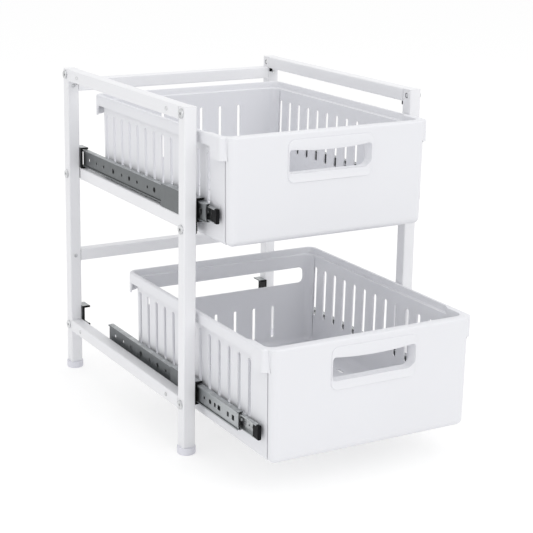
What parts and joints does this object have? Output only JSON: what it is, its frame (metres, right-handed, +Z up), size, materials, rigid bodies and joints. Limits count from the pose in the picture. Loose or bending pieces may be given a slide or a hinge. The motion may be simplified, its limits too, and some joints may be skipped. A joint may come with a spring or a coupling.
{
  "type": "pull-out cabinet organizer",
  "caption": "Free-standing square-tube frame with two pull-out slotted plastic baskets on ball-bearing slides.",
  "frame": {"origin": "on the floor, under the middle of the whole part's box, with the drawers as drawn", "axes": "+X to the right seen from the front, -Y towards the front where the drawers come out, +Z up"},
  "size_m": [0.398, 0.6206, 0.503],
  "materials": {
    "white_steel": "satin white powder coat",
    "white_plastic": "fine satin moulding",
    "foot_plastic": "satin",
    "zinc_steel": "bright zinc plate",
    "black_plastic": "satin"
  },
  "bodies": {
    "frame": {"post_front_left": "white_steel", "post_front_right": "white_steel", "post_rear_left": "white_steel", "post_rear_right": "white_steel", "top_rail_left": "white_steel", "top_rail_right": "white_steel", "middle_rail_left": "white_steel", "middle_rail_right": "white_steel", "lower_rail_left": "white_steel", "lower_rail_right": "white_steel", "back_bar_top": "white_steel", "back_bar_middle": "white_steel", "feet": "foot_plastic", "corner_connectors": "black_plastic", "frame_bolts": "zinc_steel", "rail_screws": "zinc_steel", "back_bar_screws": "zinc_steel", "slide_screws": "zinc_steel", "upper_left_front_channel": "zinc_steel", "upper_left_rear_channel": "zinc_steel", "upper_left_front_ball_retainer": "black_plastic", "upper_left_rear_ball_retainer": "black_plastic", "upper_right_front_channel": "zinc_steel", "upper_right_rear_channel": "zinc_steel", "upper_right_front_ball_retainer": "black_plastic", "upper_right_rear_ball_retainer": "black_plastic", "lower_left_front_channel": "zinc_steel", "lower_left_rear_channel": "zinc_steel", "lower_left_front_ball_retainer": "black_plastic", "lower_left_rear_ball_retainer": "black_plastic", "lower_right_front_channel": "zinc_steel", "lower_right_rear_channel": "zinc_steel", "lower_right_front_ball_retainer": "black_plastic", "lower_right_rear_ball_retainer": "black_plastic"},
    "upper_intermediates": {"upper_left_intermediate_member": "zinc_steel", "upper_left_intermediate_guide": "black_plastic", "upper_right_intermediate_member": "zinc_steel", "upper_right_intermediate_guide": "black_plastic"},
    "upper_ball_cages": {"upper_left_ball_cage": "black_plastic", "upper_right_ball_cage": "black_plastic"},
    "upper_drawer": {"upper_left_drawer_member": "zinc_steel", "upper_left_end_cap": "black_plastic", "upper_right_drawer_member": "zinc_steel", "upper_right_end_cap": "black_plastic", "upper_basket": "white_plastic", "upper_drawer_screws": "zinc_steel"},
    "lower_intermediates": {"lower_left_intermediate_member": "zinc_steel", "lower_left_intermediate_guide": "black_plastic", "lower_right_intermediate_member": "zinc_steel", "lower_right_intermediate_guide": "black_plastic"},
    "lower_ball_cages": {"lower_left_ball_cage": "black_plastic", "lower_right_ball_cage": "black_plastic"},
    "lower_drawer": {"lower_left_drawer_member": "zinc_steel", "lower_left_end_cap": "black_plastic", "lower_right_drawer_member": "zinc_steel", "lower_right_end_cap": "black_plastic", "lower_basket": "white_plastic", "lower_drawer_screws": "zinc_steel"}
  },
  "joints": [
    {"name": "upper_intermediate_slide", "type": "slide", "parent": "frame", "child": "upper_intermediates", "axis": [0, -1, 0], "range_m": [-0.02, 0.17]},
    {"name": "upper_drawer_slide", "type": "slide", "parent": "upper_intermediates", "child": "upper_drawer", "axis": [0, -1, 0], "range_m": [-0.02, 0.17]},
    {"name": "upper_cage_slide", "type": "slide", "parent": "upper_intermediates", "child": "upper_ball_cages", "axis": [0, -1, 0], "range_m": [-0.01, 0.085]},
    {"name": "lower_intermediate_slide", "type": "slide", "parent": "frame", "child": "lower_intermediates", "axis": [0, -1, 0], "range_m": [-0.118, 0.072]},
    {"name": "lower_drawer_slide", "type": "slide", "parent": "lower_intermediates", "child": "lower_drawer", "axis": [0, -1, 0], "range_m": [-0.044, 0.146]},
    {"name": "lower_cage_slide", "type": "slide", "parent": "lower_intermediates", "child": "lower_ball_cages", "axis": [0, -1, 0], "range_m": [-0.022, 0.073]}
  ],
  "couplings": [
    {"joint": "upper_cage_slide", "follows": "upper_drawer_slide", "ratio": 0.5},
    {"joint": "lower_cage_slide", "follows": "lower_drawer_slide", "ratio": 0.5}
  ]
}
